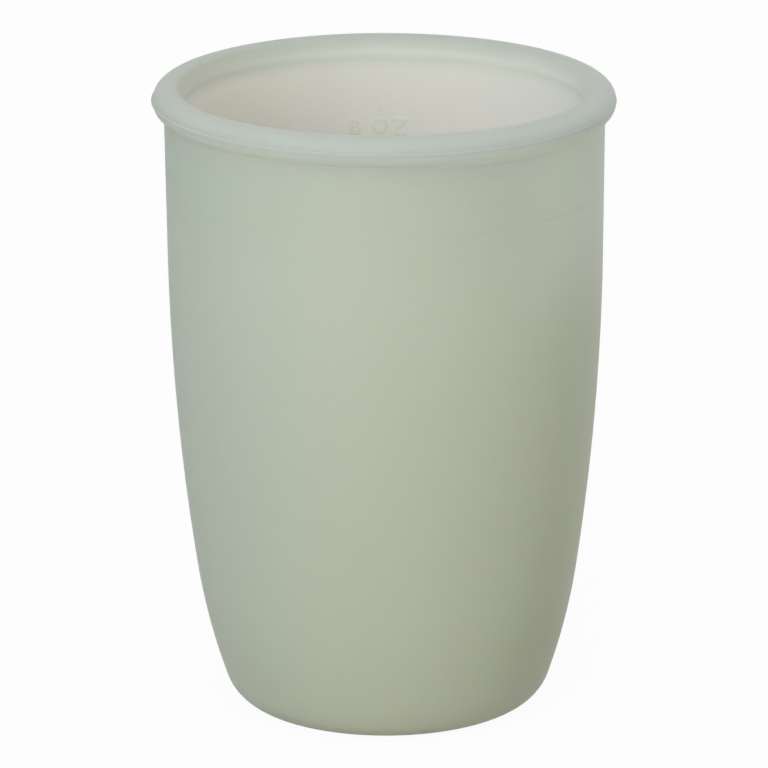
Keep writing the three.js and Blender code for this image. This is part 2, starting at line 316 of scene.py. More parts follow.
class StageSettings(PropertyGroup):
    """Floor, light and camera."""

    floor_colour: FloatVectorProperty(
        name="Floor", description="Colour of the floor",
        default=(0.35, 0.35, 0.35), min=0, max=1, subtype="COLOR")
    floor_size: FloatProperty(
        name="Floor size", description="Side of the square floor", default=8.0, unit="LENGTH")
    room_light: FloatProperty(
        name="Room light", description="Strength of the even light from all round", default=0.55, min=0)
    key_power: FloatProperty(
        name="Key lamp", description="Power of the soft lamp in front, to the left",
        default=13.5, unit="POWER")
    back_power: FloatProperty(
        name="Back lamp", description="Power of the soft lamp behind, to the right",
        default=3.1, unit="POWER")
    lamp_size: FloatProperty(
        name="Lamp size", description="Side of each square lamp", default=1.2, unit="LENGTH")
    lamp_distance: FloatProperty(
        name="Lamp distance", description="Distance of each lamp from the cup", default=1.3, unit="LENGTH")
    camera_distance: FloatProperty(
        name="Camera distance", description="Level distance from the cup's axis",
        default=1.0587, unit="LENGTH", precision=4)
    camera_height: FloatProperty(
        name="Camera height", description="Height over the floor", default=0.3609, unit="LENGTH", precision=4)
    camera_turn: FloatProperty(
        name="Camera turn", description="Turn of the camera round the cup",
        default=math.radians(-1.93), subtype="ANGLE")
    camera_aim: FloatProperty(
        name="Camera aim", description="Turn of the view to the right", default=-0.00033, subtype="ANGLE")
    camera_pitch: FloatProperty(
        name="Camera pitch", description="How far the camera looks down",
        default=math.radians(16.246), subtype="ANGLE")
    camera_roll: FloatProperty(
        name="Camera roll", description="Turn of the picture", default=-0.00612, subtype="ANGLE")
    lens: FloatProperty(
        name="Lens", description="Focal length on a 36 mm sensor, in millimetres", default=322.6, min=10)


@dataclass
class Arc:
    """An arc of the half section: its centre's radius and height, and its own radius."""

    centre: float
    height: float
    radius: float

    def at(self, heights):
        """Distance from the cup's axis at the heights."""
        return self.centre + np.sqrt(self.radius**2 - (heights - self.height) ** 2)

    def lean(self, height):
        """Slope away from upright at the height."""
        return math.asin((self.height - height) / self.radius)

    def inside(self, wall):
        """The arc of a wall's inside, from that of its outside."""
        return Arc(self.centre, self.height, self.radius - wall)

    def points(self, angles):
        """Radii and heights of the points at the angles."""
        return np.column_stack([
            self.centre + self.radius * np.cos(angles),
            self.height + self.radius * np.sin(angles),
        ])


def bending_arc(top, lean, bottom):
    """The arc that leaves the point top at a lean from upright and passes through the point bottom."""
    across, down = np.subtract(bottom, top)
    bend = across * math.cos(lean) - down * math.sin(lean)
    radius = -(across**2 + down**2) / (2 * bend)
    return Arc(top[0] - radius * math.cos(lean), top[1] + radius * math.sin(lean), radius)


def heel_arc(wall_arc, radius, floor):
    """The arc that touches a floor and the inside of a wall's arc."""
    height = floor + radius
    reach = wall_arc.radius - radius
    centre = wall_arc.centre + math.sqrt(reach**2 - (wall_arc.height - height) ** 2)
    return Arc(centre, height, radius)


def touch_lean(wall_arc, heel):
    """Slope away from upright where a heel passes into the wall's arc."""
    return math.asin((wall_arc.height - heel.height) / (wall_arc.radius - heel.radius))


def top_edge(node):
    """Largest radius and top of a round node that widens upwards."""
    _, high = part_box(node)
    return high.x, high.z


def smooth(share):
    """0 to 1 with a level start and end, from a share that may run past either."""
    share = np.clip(share, 0, 1)
    return share * share * (3 - 2 * share)


class CupShape:
    """The half section of the cup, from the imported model's boxes and the cup's sizes."""

    def __init__(self, sizes):
        upper, middle, lower, heel = map(top_edge, ("upper_wall", "middle_wall", "lower_wall", "heel"))
        self.wall = sizes.wall
        self.upper_start = middle
        self.upper_lean = math.atan2(upper[0] - middle[0], upper[1] - middle[1])
        self.middle = bending_arc(middle, self.upper_lean, lower)
        self.lower_top = lower[1]
        self.middle_lean = self.middle.lean(self.lower_top)
        self.lower = bending_arc(lower, self.middle_lean, heel)
        self.heel = heel_arc(self.lower, sizes.heel_radius, 0)
        self.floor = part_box("floor")[1].z
        self.inner_lower = self.lower.inside(self.wall)
        self.inner_heel = heel_arc(self.inner_lower, sizes.inner_heel_radius, self.floor)
        bead_low, bead_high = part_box("rim_bead")
        bead_radius = (bead_high.z - bead_low.z) / 2
        bead_centre = bead_high.x - sizes.parting_height - bead_radius
        self.bead = Arc(bead_centre, bead_low.z + bead_radius, bead_radius)
        self.lip = sizes.lip
        self.lip_blend = sizes.lip_blend
        self.thickening = sizes.thickening
        wall_top = float(self.outer_radius(bead_low.z))
        self.crease_angle = -math.acos((wall_top - bead_centre) / bead_radius)
        crease_height = self.bead.height + bead_radius * math.sin(self.crease_angle)
        self.crease = np.array([float(self.outer_radius(crease_height)), crease_height])

    def upper_radius(self, heights):
        """Radii of the outside of the straight upper wall."""
        start_radius, start_height = self.upper_start
        return start_radius + (heights - start_height) * math.tan(self.upper_lean)

    def outer_radius(self, heights):
        """Radii of the outside of the wall, over the heel."""
        heights = np.asarray(heights)
        return np.select(
            [heights >= self.upper_start[1], heights >= self.lower_top],
            [self.upper_radius(heights), self.middle.at(heights)],
            self.lower.at(heights))

    def inner_radius(self, heights):
        """Radii of the inside of the wall, over the inner heel."""
        heights = np.asarray(heights)
        upper_join = self.upper_start[1] + self.wall * math.sin(self.upper_lean)
        middle_join = self.lower_top + self.wall * math.sin(self.middle_lean)
        return np.select(
            [heights >= upper_join, heights >= middle_join],
            [
                self.upper_radius(heights) - self.wall / math.cos(self.upper_lean),
                self.middle.inside(self.wall).at(heights),
            ],
            self.inner_lower.at(heights))

    def lipped_radius(self, heights):
        """Radii of the inside up to the bead's middle: the wall thickens upwards and ends in a low lip."""
        below = self.bead.height - np.asarray(heights)
        inmost = self.bead.centre - self.bead.radius
        gain = float(self.inner_radius(self.bead.height)) - inmost - self.lip
        step = gain * smooth(1 - below / self.thickening) + self.lip * smooth(1 - below / self.lip_blend)
        return self.inner_radius(heights) - step


def steps_for(length, step):
    """Number of even steps in a length, none longer than the step."""
    return max(1, math.ceil(length / step))


def soft_corner(before, corner, after):
    """Points that round off a corner, between but without its two ends."""
    share = np.linspace(0, 1, CORNER_STEPS + 2)[1:-1, None]
    before, corner, after = map(np.array, (before, corner, after))
    return before * (1 - share) ** 2 + corner * 2 * share * (1 - share) + after * share**2


def mark_bands():
    """Bottom and top of each row of marks, joined where they meet, from the bottom up."""
    spans = sorted((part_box(node)[0].z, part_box(node)[1].z) for node in (*LINE_NODES, *LETTER_NODES))
    bands = []
    for low, high in spans:
        low, high = low - MARK_MARGIN, high + MARK_MARGIN
        if bands and low <= bands[-1][1]:
            bands[-1][1] = max(high, bands[-1][1])
        else:
            bands.append([low, high])
    return bands


def inside_heights(bottom, top):
    """Heights of the skin's rows on the inside, close together where the marks are."""
    edges = [bottom, *np.ravel(mark_bands()), top]
    heights = []
    for i, (low, high) in enumerate(zip(edges, edges[1:])):
        step = MARK_STEP if i % 2 else ROW_STEP
        heights.append(np.linspace(low, high, steps_for(high - low, step), endpoint=False))
    return np.append(np.concatenate(heights), top)


def bead_angles(bead, start, end, sizes):
    """Angles of the bead's rows, close together at its widest, where the mould's parting line is."""
    half = sizes.parting_width / 2 / bead.radius
    return np.concatenate([
        np.linspace(start, -half, steps_for(-half - start, BEAD_STEP), endpoint=False),
        np.linspace(-half, half, PARTING_STEPS, endpoint=False),
        np.linspace(half, end, steps_for(end - half, BEAD_STEP) + 1),
    ])


def raise_parting_line(points, bead, sizes):
    """Raises the mould's parting line as a low ridge round the bead's widest, higher at -X than at +X."""
    radii = np.hypot(points[:, 0], points[:, 1])
    angles = np.arctan2(points[:, 2] - bead.height, radii - bead.centre)
    half = sizes.parting_width / 2 / bead.radius
    on_line = (np.abs(angles) < half) & (radii > bead.centre + bead.radius / 2)
    ridge = sizes.parting_height * (1 + np.cos(np.pi * angles[on_line] / half)) / 2
    ridge *= 1 - sizes.parting_change * points[on_line, 0] / radii[on_line]
    points[on_line, :2] *= (1 + ridge * np.cos(angles[on_line]) / radii[on_line])[:, None]
    points[on_line, 2] += ridge * np.sin(angles[on_line])


def tilt_rim(points, shape, tilt):
    """Leans the soft rim to one side, less and less down the wall."""
    share = np.clip(points[:, 2] / shape.bead.height, 0, 1)
    points[:, 2] -= np.tan(tilt) * points[:, 0] * share**TILT_POWER


def disc_points(radius, height):
    """Rows of a flat disc from its middle out, without its edge."""
    radii = np.linspace(0, radius, steps_for(radius, DISC_STEP), endpoint=False)
    return np.column_stack([radii, np.full_like(radii, height)])


def ghost_heights(marks):
    """Heights on the outside at which the soft edges of the painted shade of the fill line, which shows
    through, begin and end.
    """
    low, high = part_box(FILL_LINE_NODE)
    half, edge = (high.z - low.z) / 2, marks.edge / 2
    return (low.z + high.z) / 2 + GHOST_LIFT + np.array([-half - edge, edge - half, half - edge, half + edge])


def skin_section(shape, sizes, marks):
    """Radius and height of each row of the skin: out under the foot, up, over the bead, down and in."""
    outer_lean = touch_lean(shape.lower, shape.heel)
    inner_lean = touch_lean(shape.inner_lower, shape.inner_heel)
    heel_top = shape.heel.height - shape.heel.radius * math.sin(outer_lean)
    inner_heel_top = shape.inner_heel.height - shape.inner_heel.radius * math.sin(inner_lean)

    bead = shape.bead
    wall_end = shape.crease[1] - sizes.crease
    lip_start = bead.height - shape.lip_blend
    outer_heights = np.linspace(heel_top, wall_end, steps_for(wall_end - heel_top, ROW_STEP) + 1)
    outer_heights = np.union1d(outer_heights, ghost_heights(marks))
    outer_wall = np.column_stack([shape.outer_radius(outer_heights), outer_heights])
    lip_heights = np.linspace(lip_start, bead.height, LIP_STEPS, endpoint=False)[1:]
    inner_heights = np.append(inside_heights(inner_heel_top, lip_start), lip_heights)[::-1]
    inner_wall = np.column_stack([shape.lipped_radius(inner_heights), inner_heights])
    rim = bead.points(bead_angles(bead, shape.crease_angle + sizes.crease / bead.radius, math.pi, sizes))
    down = -math.pi / 2
    return np.concatenate([
        disc_points(shape.heel.centre, 0),
        shape.heel.points(np.linspace(down, -outer_lean, HEEL_STEPS + 1))[:-1],
        outer_wall,
        soft_corner(outer_wall[-1], shape.crease, rim[0]),
        rim,
        inner_wall,
        shape.inner_heel.points(np.linspace(-inner_lean, down, HEEL_STEPS + 1))[1:],
        disc_points(shape.inner_heel.centre, shape.floor)[::-1],
    ])


def line_ends(marks):
    """Angles from +Y towards +X at which the fill line begins and ends."""
    middle = math.pi - marks.opening_turn
    return middle - 2 * math.pi + marks.opening / 2, middle - marks.opening / 2


def skin_columns(shape, marks):
    """Angles of the skin's columns from +Y towards +X, close together at the marks and at the line's ends."""
    reach = max(max(-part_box(node)[0].x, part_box(node)[1].x) for node in SHORT_LINE_NODES)
    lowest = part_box(LINE_NODES[0])[0].z
    half = (reach + MARK_MARGIN) / float(shape.inner_radius(lowest))
    fine_step = MARK_STEP / shape.outer_radius(shape.bead.height)
    fine = np.linspace(-half, half, steps_for(2 * half, fine_step), endpoint=False)
    rest = 2 * math.pi - 2 * half
    coarse = np.linspace(half, half + rest, steps_for(rest, COLUMN_STEP), endpoint=False)
    end_spread = np.arange(-LINE_END_STEPS, LINE_END_STEPS + 1) * fine_step
    ends = np.concatenate([np.mod(end, 2 * math.pi) + end_spread for end in line_ends(marks)])
    apart = [angle for angle in coarse if np.min(np.abs(angle - ends)) > fine_step * LINE_END_STEPS]
    return np.sort(np.concatenate([fine, apart, ends]))


def turn_section(section, columns):
    """Points and faces of the closed skin that the section sweeps round +Z."""
    rows = section[1:-1]
    count = len(columns)
    points = np.empty((len(rows), count, 3))
    points[..., 0] = rows[:, :1] * np.sin(columns)
    points[..., 1] = rows[:, :1] * np.cos(columns)
    points[..., 2] = rows[:, 1:]
    foot, floor = (0, 0, section[0, 1]), (0, 0, section[-1, 1])
    points = np.concatenate([[foot], points.reshape(-1, 3), [floor]])

    here = np.arange(count)
    after = (here + 1) % count
    faces = [(0, 1 + i, 1 + j) for i, j in zip(here, after)]
    for row in range(len(rows) - 1):
        low = 1 + row * count
        high = low + count
        faces += zip(low + here, high + here, high + after, low + after)
    last = len(points) - 1
    top = last - count
    faces += [(last, top + j, top + i) for i, j in zip(here, after)]
    return points, faces


def smooth_mesh(name, points, faces):
    """An object with a smooth-shaded mesh, in the scene."""
    mesh = bpy.data.meshes.new(name)
    mesh.from_pydata(points.tolist(), [], [tuple(map(int, face)) for face in faces])
    mesh.validate()
    mesh.shade_smooth()
    obj = bpy.data.objects.new(name, mesh)
    bpy.context.scene.collection.objects.link(obj)
    return obj


def mesh_points(obj):
    """Points of an object's mesh, one to a row."""
    points = np.empty(len(obj.data.vertices) * 3)
    obj.data.vertices.foreach_get("co", points)
    return points.reshape(-1, 3)


def write_attribute(obj, name, values):
    """Gives each point of an object's mesh a value under the name."""
    obj.data.attributes.new(name, "FLOAT", "POINT").data.foreach_set("value", values)


def outside(section):
    """Which rows of the skin lie on the outside, up to the bead's crest."""
    return np.arange(len(section)) < np.argmax(section[:, 1])


def past_crest(section):
    """Which rows of the skin lie past the bead's crest, on the inside."""
    return np.arange(len(section)) > np.argmax(section[:, 1])


def under_crease(section, shape):
    """Which rows of the skin lie on the outside under the bead."""
    return outside(section) & (section[:, 1] <= shape.crease[1])


def crest_depth(section, shape):
    """How far each row of the skin lies under the bead's crest."""
    return shape.bead.height + shape.bead.radius - section[:, 1]


# How far each row of the skin belongs to each painted light and shade, from 0 to 1


def foot_share(section, shape):
    """1 at the foot, 0 at the bead."""
    return np.clip(1 - section[:, 1] / shape.bead.height, 0, 1)


def painted_floor_light_share(section, _shape):
    """Painted light from the floor on the heel where it turns under: 1 at the foot, 0 a little way up."""
    return np.where(outside(section), smooth(1 - section[:, 1] / SOLE_HEIGHT), 0)


def rim_share(section, shape):
    """The thick rim, where its painted shade lies: 1 over the bead, 0 a little way down the wall."""
    below_bead = shape.bead.height - shape.bead.radius - section[:, 1]
    return smooth(1 - below_bead / RIM_FADE)


def wall_share(section, shape):
    """The outside of the wall: 1 under the rim, 0 on it."""
    return np.where(outside(section), 1 - rim_share(section, shape), 0)


def painted_cool_light_share(section, shape):
    """The painted cooler light on the outside of the wall, less at the foot than under the bead."""
    return wall_share(section, shape) * (1 - COOL_LOSS * foot_share(section, shape))


def painted_olive_shade_share(section, shape):
    """Painted shade low on the outside of the wall: 0 at the bead, more and more downwards, 0 again at the
    very foot.
    """
    return wall_share(section, shape) * foot_share(section, shape) * smooth(section[:, 1] / OLIVE_FADE)


def painted_through_light_share(section, shape):
    """The painted light on the high outside of the wall: 1 under the bead, 0 some way down."""
    return np.where(under_crease(section, shape), smooth((section[:, 1] - LIT_START) / LIT_FADE), 0)


def painted_underside_light_share(section, shape):
    """Painted light on the bead's underside: most on the bead, less in the crease and on the wall just under
    it.
    """
    across, up = (section - (shape.bead.centre, shape.bead.height)).T
    on_bead = outside(section) & (section[:, 0] > shape.crease[0])
    turned_under = smooth((UNDERSIDE_START - np.arctan2(up, across)) / (UNDERSIDE_START - UNDERSIDE_END))
    from_crease = smooth(np.linalg.norm(section - shape.crease, axis=1) / CREASE_FADE)
    bead = turned_under * (CREASE_SHARE + (UNDERSIDE_SHARE - CREASE_SHARE) * from_crease)
    wall = WALL_TOP_SHARE * smooth(1 - (shape.crease[1] - section[:, 1]) / WALL_TOP_FADE)
    return np.select([on_bead, under_crease(section, shape)], [bead, wall])


def painted_inside_light_share(section, shape):
    """The painted light on the inside: 0 out to the bead's crest, 1 well down the wall."""
    depth = crest_depth(section, shape)
    at_lip = smooth(depth / (2 * shape.bead.radius))
    down_wall = smooth((depth - 2 * shape.bead.radius) / INSIDE_FADE)
    return np.where(past_crest(section), LIP_SHARE * at_lip + (1 - LIP_SHARE) * down_wall, 0)


def side_share(section, shape):
    """Half of the share of the inside's painted light, for the painted warmer and cooler light on its sides.
    """
    return painted_inside_light_share(section, shape) / 2


def painted_lip_shade_share(section, shape):
    """The painted shade at the low lip inside: 1 at it, 0 a little way up the bead and down the wall."""
    from_lip = np.abs(shape.bead.height - section[:, 1] - shape.lip_blend / 2)
    return np.where(past_crest(section), smooth(1 - from_lip / LIP_FADE), 0)


def painted_dim_shade_share(section, shape):
    """The painted shade on the bead's inner slope: 0 at its crest, most inwards of that, 0 past the lip."""
    depth = crest_depth(section, shape)
    slope = smooth(depth / DIM_START) * smooth(1 - depth / DIM_FADE)
    return np.where(past_crest(section), DIM_SHARE * slope, 0)


def painted_deep_inside_share(section, shape):
    """Where the deep inside's painted light and shade lie: 0 near the rim, 1 at the floor."""
    depth = smooth((DEEP_START - section[:, 1]) / (DEEP_START - shape.floor))
    return np.where(past_crest(section), depth, 0)


# How the share of each painted light and shade changes sideways, which runs from -1 at -X to 1 at +X


def even(sideways):
    """The same all round."""
    return np.ones_like(sideways)


def more_right(sideways):
    """1 on the left half, growing to 2 at +X."""
    return 1 + smooth(sideways)


def less_right(sideways):
    """2 at -X, falling evenly to 0 at +X."""
    return 1 - sideways


def left_half(sideways):
    """0 on the right half, growing to 1 at -X."""
    return smooth(-sideways)


def right_half(sideways):
    """0 on the left half, growing faster and faster to 1 at +X."""
    return np.clip(sideways, 0, 1) ** 2


def right_edge(sideways):
    """0 up to well right of the middle, growing to 1 near +X."""
    return smooth((sideways - EDGE_START) / EDGE_FADE)


# The painted lights and shades in the order in which they are laid over each other
PAINTED_LIGHTS_AND_SHADES = {
    "foot": (foot_share, even),
    "sole": (painted_floor_light_share, even),
    "cool": (painted_cool_light_share, left_half),
    "olive": (painted_olive_shade_share, right_half),
    "rim": (rim_share, even),
    "lit": (painted_through_light_share, right_edge),
    "underside": (painted_underside_light_share, more_right),
    "inside": (painted_inside_light_share, even),
    "warm": (side_share, less_right),
    "cold": (side_share, right_edge),
    "lip": (painted_lip_shade_share, even),
    "dim": (painted_dim_shade_share, left_half),
    "deep": (painted_deep_inside_share, even),
}


def paint_light_and_shade(skin, section, columns, shape):
    """Writes how far each point of the skin belongs to each painted light and shade."""
    for name, (rule, change) in PAINTED_LIGHTS_AND_SHADES.items():
        share = rule(section, shape)
        around = np.outer(share[1:-1], change(np.sin(columns)))
        write_attribute(skin, name, np.concatenate([share[:1], around.ravel(), share[-1:]]))


def stroke_line(*places):
    """Points of a run of straight strokes in a letter's box, which is 1 wide and 1 high."""
    return np.array(places, float)


def stroke_arc(x, y, across, up, start=0, end=360):
    """Points of an oval stroke in a letter's box, angles in degrees."""
    angles = np.radians(np.linspace(start, end, LETTER_ARC_STEPS + 1))
    return np.column_stack([x + across * np.cos(angles), y + up * np.sin(angles)])


LETTER_STROKES = {
    "O": [stroke_arc(0.5, 0.5, 0.5, 0.5)],
    "Z": [stroke_line((0, 1), (1, 1), (0, 0), (1, 0))],
    "1": [stroke_line((0, 0.8), (1, 1), (1, 0))],
    "2": [np.vstack([stroke_arc(0.5, 0.7, 0.5, 0.3, 170, -40), stroke_line((0, 0), (1, 0))])],
    "4": [stroke_line((0.75, 1), (0, 0.3), (1, 0.3)), stroke_line((0.75, 1), (0.75, 0))],
    "6": [stroke_arc(0.5, 0.3, 0.5, 0.3), stroke_arc(1, 0.3, 1, 0.7, 180, 100)],
    "8": [stroke_arc(0.5, 0.27, 0.5, 0.27), stroke_arc(0.5, 0.77, 0.44, 0.23)],
}


def distance_to_stroke(places, stroke):
    """Distance of each place from a run of straight strokes."""
    nearest = np.full(len(places), np.inf)
    for start, end in zip(stroke, stroke[1:]):
        along = end - start
        share = np.clip((places - start) @ along / (along @ along), 0, 1)
        nearest = np.minimum(nearest, np.linalg.norm(places - start - share[:, None] * along, axis=1))
    return nearest


def soft_step(distance, edge):
    """1 inside a mark's outline and 0 outside, rounded over the edge; distance is negative inside."""
    return smooth(0.5 - distance / edge)


def letter_relief(node, places, marks):
    """Share of the full relief that one letter gives at places of x and height on the back wall."""
    low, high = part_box(node)
    half = marks.stroke / 2
    corner = np.array([low.x + half, low.z + half])
    size = np.array([high.x - low.x - marks.stroke, high.z - low.z - marks.stroke])
    strokes = LETTER_STROKES[node.rsplit("_", 1)[-1]]
    distance = np.min([distance_to_stroke(places, corner + stroke * size) for stroke in strokes], axis=0)
    return soft_step(distance - half, marks.edge)


def line_relief(node, along, heights, ends, edge):
    """Share of the full relief of a line between two ends, at places along the wall and heights."""
    low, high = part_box(node)
    over = np.abs(heights - (low.z + high.z) / 2) - (high.z - low.z) / 2
    past = np.maximum(ends[0] - along, along - ends[1])
    return soft_step(np.maximum(over, past), edge)


def fill_line_relief(points, shape, marks):
    """Share of the full relief that the fill line gives at points of the wall."""
    x, y, z = points.T
    start, end = line_ends(marks)
    radius = float(shape.inner_radius(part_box(FILL_LINE_NODE)[0].z))
    along = np.mod(np.arctan2(x, y) - start, 2 * math.pi) * radius
    return line_relief(FILL_LINE_NODE, along, z, (0, (end - start) * radius), marks.edge)


def marks_relief(points, shape, marks):
    """Share of the full relief that all the marks give at points of the inside of the wall."""
    relief = fill_line_relief(points, shape, marks)
    behind = points[:, 1] > 0
    x, _, z = points[behind].T
    back = relief[behind]
    for node in SHORT_LINE_NODES:
        low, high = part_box(node)
        back = np.maximum(back, line_relief(node, x, z, (low.x, high.x), marks.edge))
    places = np.column_stack([x, z])
    for node in LETTER_NODES:
        depth = marks.faint if node == FAINT_NODE else 1
        back = np.maximum(back, depth * letter_relief(node, places, marks))
    relief[behind] = back
    return relief


def marked_wall(points, shape):
    """Which points lie on the inside of the wall and which on the outside, at the heights of the marks."""
    bands = mark_bands()
    lowest, highest = bands[0][0], bands[-1][1]
    heights = points[:, 2]
    at_marks = (heights > lowest) & (heights < highest)
    middle = shape.outer_radius(np.clip(heights, lowest, highest)) - shape.wall / 2
    inner = np.hypot(points[:, 0], points[:, 1]) < middle
    return at_marks & inner, at_marks & ~inner


def shader_node(tree, kind, **settings):
    """A new node with its settings."""
    node = tree.nodes.new(kind)
    for name, value in settings.items():
        setattr(node, name, value)
    return node


def fill_sockets(node, **values):
    """Sets a node's inputs by name, with underscores for spaces."""
    for name, value in values.items():
        node.inputs[name.replace("_", " ")].default_value = value


def opaque(colour):
    """A colour with full alpha, as sockets take it."""
    return (*colour, 1.0)


def mixed_colour(tree, share, first, second):
    """Socket of a mix by a share from the first colour, plain or a socket, to the second, which is plain."""
    mix = shader_node(tree, "ShaderNodeMix", data_type="RGBA")
    tree.links.new(share, mix.inputs["Factor"])
    if isinstance(first, bpy.types.NodeSocket):
        tree.links.new(first, mix.inputs[MIX_FIRST])
    else:
        mix.inputs[MIX_FIRST].default_value = opaque(first)
    mix.inputs[MIX_SECOND].default_value = opaque(second)
    return mix.outputs[MIX_RESULT]


def texture(tree, kind, place, **values):
    """A procedural texture that follows the piece."""
    node = shader_node(tree, kind)
    fill_sockets(node, **values)
    tree.links.new(place, node.inputs["Vector"])
    return node


def mapped(tree, value, interpolation, **values):
    """Socket of a value that is mapped from one range to another."""
    node = shader_node(tree, "ShaderNodeMapRange", interpolation_type=interpolation)
    fill_sockets(node, **values)
    tree.links.new(value, node.inputs["Value"])
    return node.outputs["Result"]


def silicone_colour(tree, place, clouds, finish):
    """Socket of the silicone's colour: clouded, with painted light and shade laid over it, and specked."""
    colour = mixed_colour(tree, clouds, finish.colour, finish.cloud_colour)
    for tint in (*PAINTED_LIGHTS_AND_SHADES, MARK, GHOST):
        share = shader_node(tree, "ShaderNodeAttribute", attribute_name=tint).outputs["Fac"]
        colour = mixed_colour(tree, share, colour, getattr(finish, tint + "_colour"))
    distance = texture(tree, "ShaderNodeTexVoronoi", place, Scale=SPECK_SCALE).outputs["Distance"]
    specks = mapped(
        tree, distance, "SMOOTHSTEP",
        From_Min=SPECK_CORE, From_Max=SPECK_EDGE, To_Min=SPECK_STRENGTH, To_Max=0.0)
    return mixed_colour(tree, specks, colour, finish.speck_colour)


def silicone_material(finish):
    """Satin silicone: light scatters in it, its colour varies, and the mould left a fine grain."""
    material = bpy.data.materials.new("sage_silicone")
    material.use_nodes = True
    tree = material.node_tree
    link = tree.links.new
    shader = tree.nodes["Principled BSDF"]
    fill_sockets(
        shader,
        IOR=SILICONE_IOR,
        Specular_IOR_Level=SILICONE_SPECULAR,
        Subsurface_Weight=1.0,
        Subsurface_Radius=finish.scatter_share,
        Subsurface_Scale=finish.scatter_depth)
    place = shader_node(tree, "ShaderNodeTexCoord").outputs["Object"]
    clouds = texture(tree, "ShaderNodeTexNoise", place, **CLOUD_NOISE).outputs["Fac"]
    link(silicone_colour(tree, place, clouds, finish), shader.inputs["Base Color"])
    rubbed = mapped(
        tree, clouds, "LINEAR",
        To_Min=finish.roughness - RUBBED_CHANGE, To_Max=finish.roughness + RUBBED_CHANGE)
    link(rubbed, shader.inputs["Roughness"])
    grain = texture(tree, "ShaderNodeTexNoise", place, **GRAIN_NOISE).outputs["Fac"]
    bump = shader_node(tree, "ShaderNodeBump")
    fill_sockets(bump, Strength=GRAIN_STRENGTH, Distance=GRAIN_DEPTH)
    link(grain, bump.inputs["Height"])
    link(bump.outputs["Normal"], shader.inputs["Normal"])
    return material


def seen_directly(tree):
    """1 for a ray that comes from the camera, or from it by a mirror or through glass, and 0 for light."""
    rays = shader_node(tree, "ShaderNodeLightPath")
    total = rays.outputs["Is Camera Ray"]
    for name in ("Is Glossy Ray", "Is Transmission Ray"):
        joined = shader_node(tree, "ShaderNodeMath", operation="MAXIMUM")
        tree.links.new(total, joined.inputs[0])
        tree.links.new(rays.outputs[name], joined.inputs[1])
        total = joined.outputs["Value"]
    return total


def floor_material(stage):
    """Matt floor that lights the cup as a grey one does and is seen as nearly white, with a faint shadow."""
    material = bpy.data.materials.new("pale_floor")
    material.use_nodes = True
    tree = material.node_tree
    link = tree.links.new
    shader = tree.nodes["Principled BSDF"]
    fill_sockets(shader, Roughness=FLOOR_ROUGHNESS, Specular_IOR_Level=0.0)
    seen = seen_directly(tree)
    link(mixed_colour(tree, seen, stage.floor_colour, WHITE), shader.inputs["Base Color"])
    white = shader_node(tree, "ShaderNodeEmission")
    share = shader_node(tree, "ShaderNodeMath", operation="MULTIPLY")
    share.inputs[1].default_value = FLOOR_WHITE_SHARE
    link(seen, share.inputs[0])
    mixed = shader_node(tree, "ShaderNodeMixShader")
    link(share.outputs["Value"], mixed.inputs["Fac"])
    link(shader.outputs["BSDF"], mixed.inputs[1])
    link(white.outputs["Emission"], mixed.inputs[2])
    link(mixed.outputs["Shader"], tree.nodes["Material Output"].inputs["Surface"])
    return material


def add_floor(stage):
    """The floor, a hair under the cup's foot."""
    half = stage.floor_size / 2
    corners = np.array([(-half, -half, 0), (half, -half, 0), (half, half, 0), (-half, half, 0)])
    floor = smooth_mesh("pale_floor", corners, [(0, 1, 2, 3)])
    floor.location.z = -FLOOR_DROP
    floor.data.materials.append(floor_material(stage))


def light_room(stage):
    """Even light from all round, and white where the camera looks past the floor."""
    world = bpy.data.worlds.new("white_room")
    bpy.context.scene.world = world
    world.use_nodes = True
    tree = world.node_tree
    link = tree.links.new
    room = tree.nodes["Background"]
    fill_sockets(room, Color=opaque(WHITE), Strength=stage.room_light)
    backdrop = shader_node(tree, "ShaderNodeBackground")
    fill_sockets(backdrop, Color=opaque(WHITE), Strength=1.0)
    mixed = shader_node(tree, "ShaderNodeMixShader")
    link(seen_directly(tree), mixed.inputs["Fac"])
    link(room.outputs["Background"], mixed.inputs[1])
    link(backdrop.outputs["Background"], mixed.inputs[2])
    link(mixed.outputs["Shader"], tree.nodes["World Output"].inputs["Surface"])


def add_lamp(name, direction, power, stage):
    """A square soft lamp that shines on the cup from a direction: turn from the front to +X and elevation."""
    turn, elevation = map(math.radians, direction)
    level = math.cos(elevation)
    outward = Vector((math.sin(turn) * level, -math.cos(turn) * level, math.sin(elevation)))
    middle = (CAD_BOX[0] + CAD_BOX[1]) / 2
    lamp = bpy.data.lights.new(name, "AREA")
    lamp.shape = "SQUARE"
    lamp.size = stage.lamp_size
    lamp.energy = power
    obj = bpy.data.objects.new(name, lamp)
    obj.location = middle + outward * stage.lamp_distance
    obj.rotation_euler = (-outward).to_track_quat("-Z", "Y").to_euler()
    bpy.context.scene.collection.objects.link(obj)


def add_camera(stage):
    """The camera, as it stood for the photograph."""
    turn = Matrix.Rotation(stage.camera_turn, 3, "Z")
    place = turn @ Vector((0, -stage.camera_distance, stage.camera_height))
    level = Vector((math.sin(stage.camera_aim), math.cos(stage.camera_aim), 0))
    forward = turn @ (level * math.cos(stage.camera_pitch) - Vector((0, 0, math.sin(stage.camera_pitch))))
    right = forward.cross(Vector((0, 0, 1))).normalized()
    up = right.cross(forward)
    roll = stage.camera_roll
    picture_right = right * math.cos(roll) + up * math.sin(roll)
    picture_up = up * math.cos(roll) - right * math.sin(roll)
    axes = Matrix((picture_right, picture_up, -forward)).transposed()
    data = bpy.data.cameras.new("photo_camera")
    data.sensor_width = SENSOR_WIDTH
    data.lens = stage.lens
    data.clip_start = CLIP_START
    camera = bpy.data.objects.new("photo_camera", data)
    camera.matrix_world = Matrix.Translation(place) @ axes.to_4x4()
    bpy.context.scene.collection.objects.link(camera)
    bpy.context.scene.camera = camera


